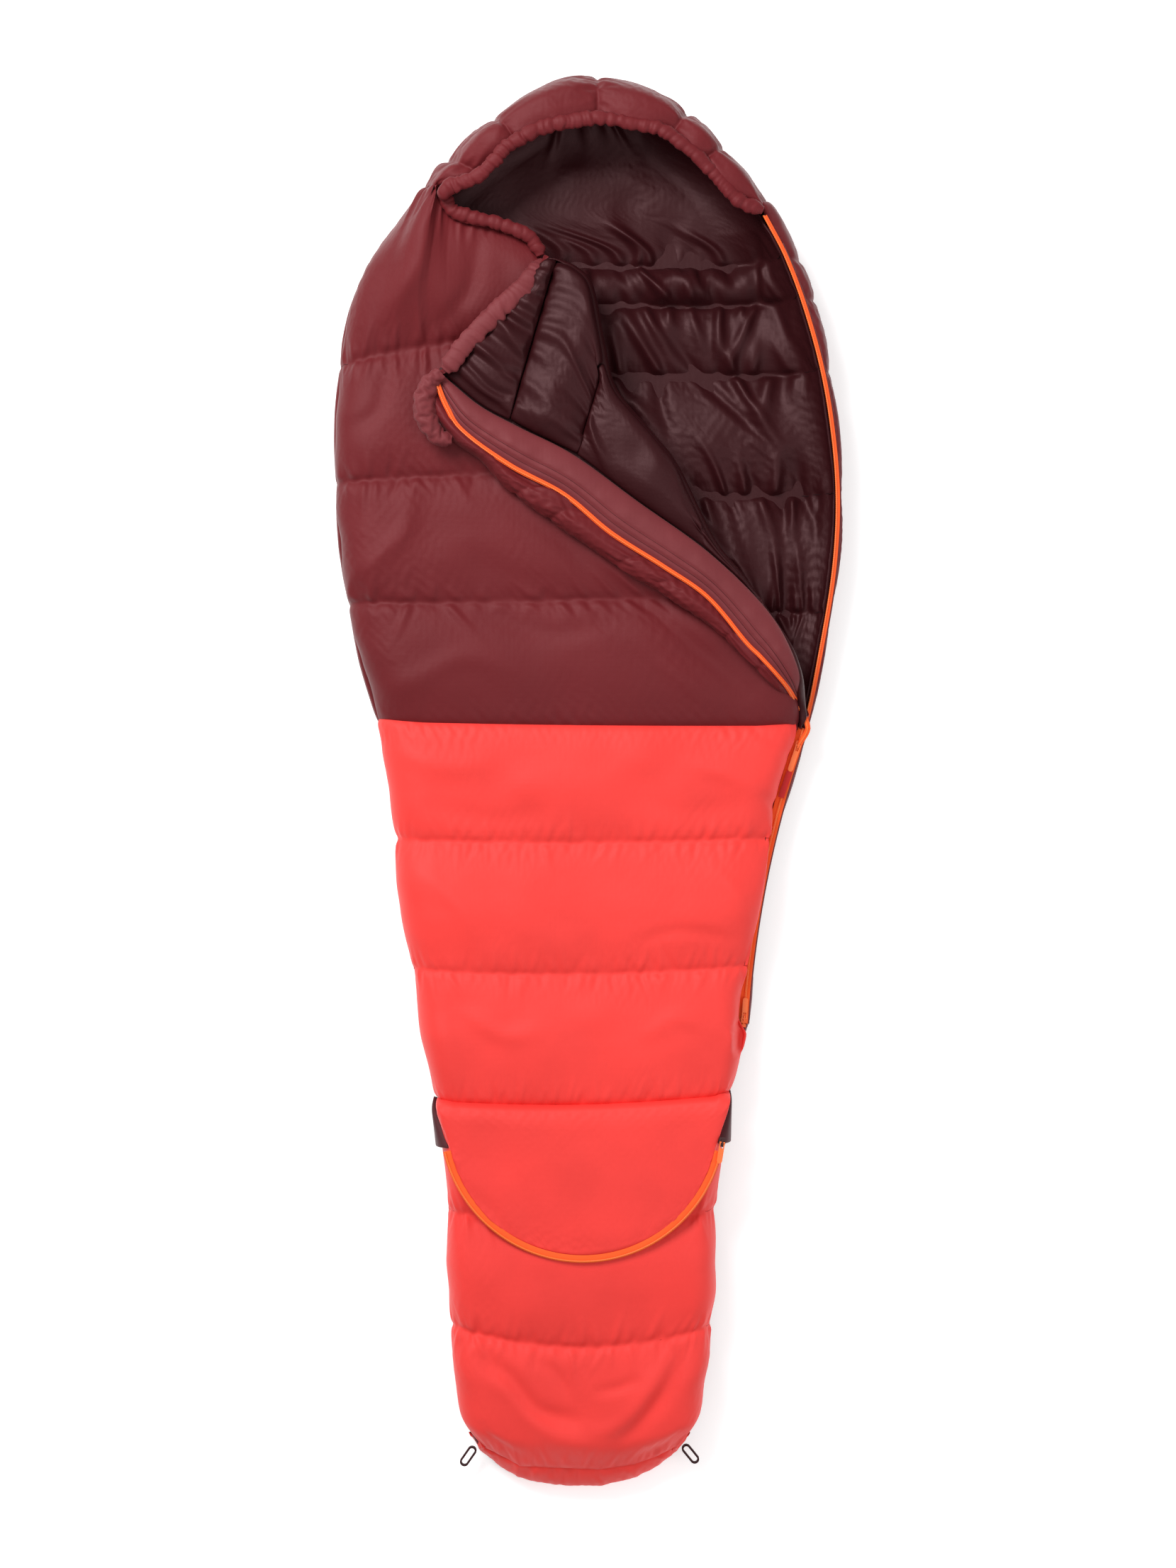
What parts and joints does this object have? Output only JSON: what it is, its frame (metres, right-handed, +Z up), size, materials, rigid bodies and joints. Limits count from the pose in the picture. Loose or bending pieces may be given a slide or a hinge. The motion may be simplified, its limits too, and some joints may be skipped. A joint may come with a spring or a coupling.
{
  "type": "mummy sleeping bag",
  "caption": "Open child's mummy sleeping bag with hood, side zip, folded-back front flap and a growing foot section.",
  "frame": {"origin": "on the ground under the middle of the bag, lying on its back", "axes": "+Y from the foot to the hood, +Z up from the ground, +X to the zip side"},
  "size_m": [0.6164, 1.6984, 0.13],
  "materials": {
    "shell_maroon": "satin",
    "shell_red": "satin",
    "lining": "matte",
    "filling": "matte",
    "zip_tape": "matte",
    "zip_coil": "satin",
    "slider_metal": "satin",
    "puller_orange": "satin",
    "pull_cloth": "matte",
    "webbing": "matte",
    "elastic": "matte"
  },
  "bodies": {
    "bag": {"back_shell": "shell_maroon", "back_filling": "filling", "back_lining": "lining", "side_wall_shell": "shell_maroon", "side_wall_filling": "filling", "side_wall_lining": "lining", "chest_shell": "shell_maroon", "chest_filling": "filling", "chest_lining": "lining", "leg_shell": "shell_red", "leg_filling": "filling", "leg_lining": "lining", "growth_top_shell": "shell_red", "growth_top_filling": "filling", "growth_top_lining": "lining", "hood_shell": "shell_maroon", "hood_filling": "filling", "hood_lining": "lining", "hood_elastic": "elastic", "hood_rim_channel": "shell_maroon", "chest_rim_channel": "shell_maroon", "zip_edge_binding": "shell_maroon", "back_zip_tape": "zip_tape", "back_zip_coil": "zip_coil", "front_zip_tape": "zip_tape", "front_zip_coil": "zip_coil", "zip_bottom_stop": "zip_coil"},
    "flap": {"flap_shell": "shell_maroon", "flap_filling": "filling", "flap_lining": "lining", "flap_zip_tape": "zip_tape", "flap_zip_coil": "zip_coil", "draft_tube": "shell_maroon", "flap_rim_channel": "shell_maroon", "draft_collar": "lining", "zip_garage": "shell_maroon"},
    "cover_flap": {"cover_shell": "shell_red", "cover_filling": "filling", "cover_lining": "lining", "cover_zip_tape": "zip_tape", "cover_zip_coil": "zip_coil", "cover_tab_left": "shell_maroon", "cover_tab_right": "shell_maroon"},
    "foot": {"foot_back_shell": "shell_maroon", "foot_back_filling": "filling", "foot_back_lining": "lining", "foot_top_shell": "shell_red", "foot_top_filling": "filling", "foot_top_lining": "lining", "foot_end_gusset": "shell_maroon"},
    "top_slider": {"top_slider": "slider_metal"},
    "top_puller": {"top_puller": "puller_orange", "top_pull_tab": "pull_cloth"},
    "low_slider": {"low_slider": "slider_metal"},
    "low_puller": {"low_puller": "puller_orange"},
    "foot_slider": {"foot_slider": "slider_metal"},
    "foot_puller": {"foot_puller": "puller_orange"},
    "hang_loop_left": {"hang_loop_left": "webbing"},
    "hang_loop_right": {"hang_loop_right": "webbing"}
  },
  "joints": [
    {"name": "flap_fold", "type": "hinge", "parent": "bag", "child": "flap", "pos_m": [0.272, 0.084, 0.08], "axis": [-0.4246, 0.9054, 0], "range_deg": [0, 150]},
    {"name": "foot_fold", "type": "hinge", "parent": "bag", "child": "foot", "pos_m": [0, -0.575, 0.091], "axis": [-1, 0, 0], "range_deg": [0, 170]},
    {"name": "cover_lift", "type": "hinge", "parent": "bag", "child": "cover_flap", "pos_m": [0, -0.4, 0.09], "axis": [1, 0, 0], "range_deg": [-75, 0]},
    {"name": "top_slider_travel", "type": "hinge", "parent": "bag", "child": "top_slider", "pos_m": [1.487, -0.369, 0.044], "axis": [0, 0, 1], "range_deg": [0, 9]},
    {"name": "top_puller_swing", "type": "hinge", "parent": "top_slider", "child": "top_puller", "pos_m": [0.25502, 0.046, 0.0485], "axis": [-0.9477, 0.3192, 0], "range_deg": [0, 160]},
    {"name": "low_slider_travel", "type": "hinge", "parent": "bag", "child": "low_slider", "pos_m": [1.487, -0.369, 0.044], "axis": [0, 0, -1], "range_deg": [0, 2.5]},
    {"name": "low_puller_swing", "type": "hinge", "parent": "low_slider", "child": "low_puller", "pos_m": [0.18985, -0.283, 0.0485], "axis": [0.9978, -0.0662, 0], "range_deg": [0, 160]},
    {"name": "foot_slider_travel", "type": "hinge", "parent": "cover_flap", "child": "foot_slider", "pos_m": [-0.005, -0.4, 0.0906], "axis": [0, 0, -1], "range_deg": [0, 160]},
    {"name": "foot_puller_swing", "type": "hinge", "parent": "foot_slider", "child": "foot_puller", "pos_m": [0.16093, -0.42628, 0.0951], "axis": [-0.9877, 0.1564, 0], "range_deg": [0, 160]},
    {"name": "hang_loop_left_bend", "type": "hinge", "parent": "foot", "child": "hang_loop_left", "pos_m": [-0.13656, -0.80629, 0.0225], "axis": [-0.8211, 0.5708, 0], "range_deg": [-20, 40], "stiffness_Nm_per_rad": 0.01},
    {"name": "hang_loop_right_bend", "type": "hinge", "parent": "foot", "child": "hang_loop_right", "pos_m": [0.11728, -0.80413, 0.0225], "axis": [-0.774, -0.6332, 0], "range_deg": [-20, 40], "stiffness_Nm_per_rad": 0.01}
  ]
}
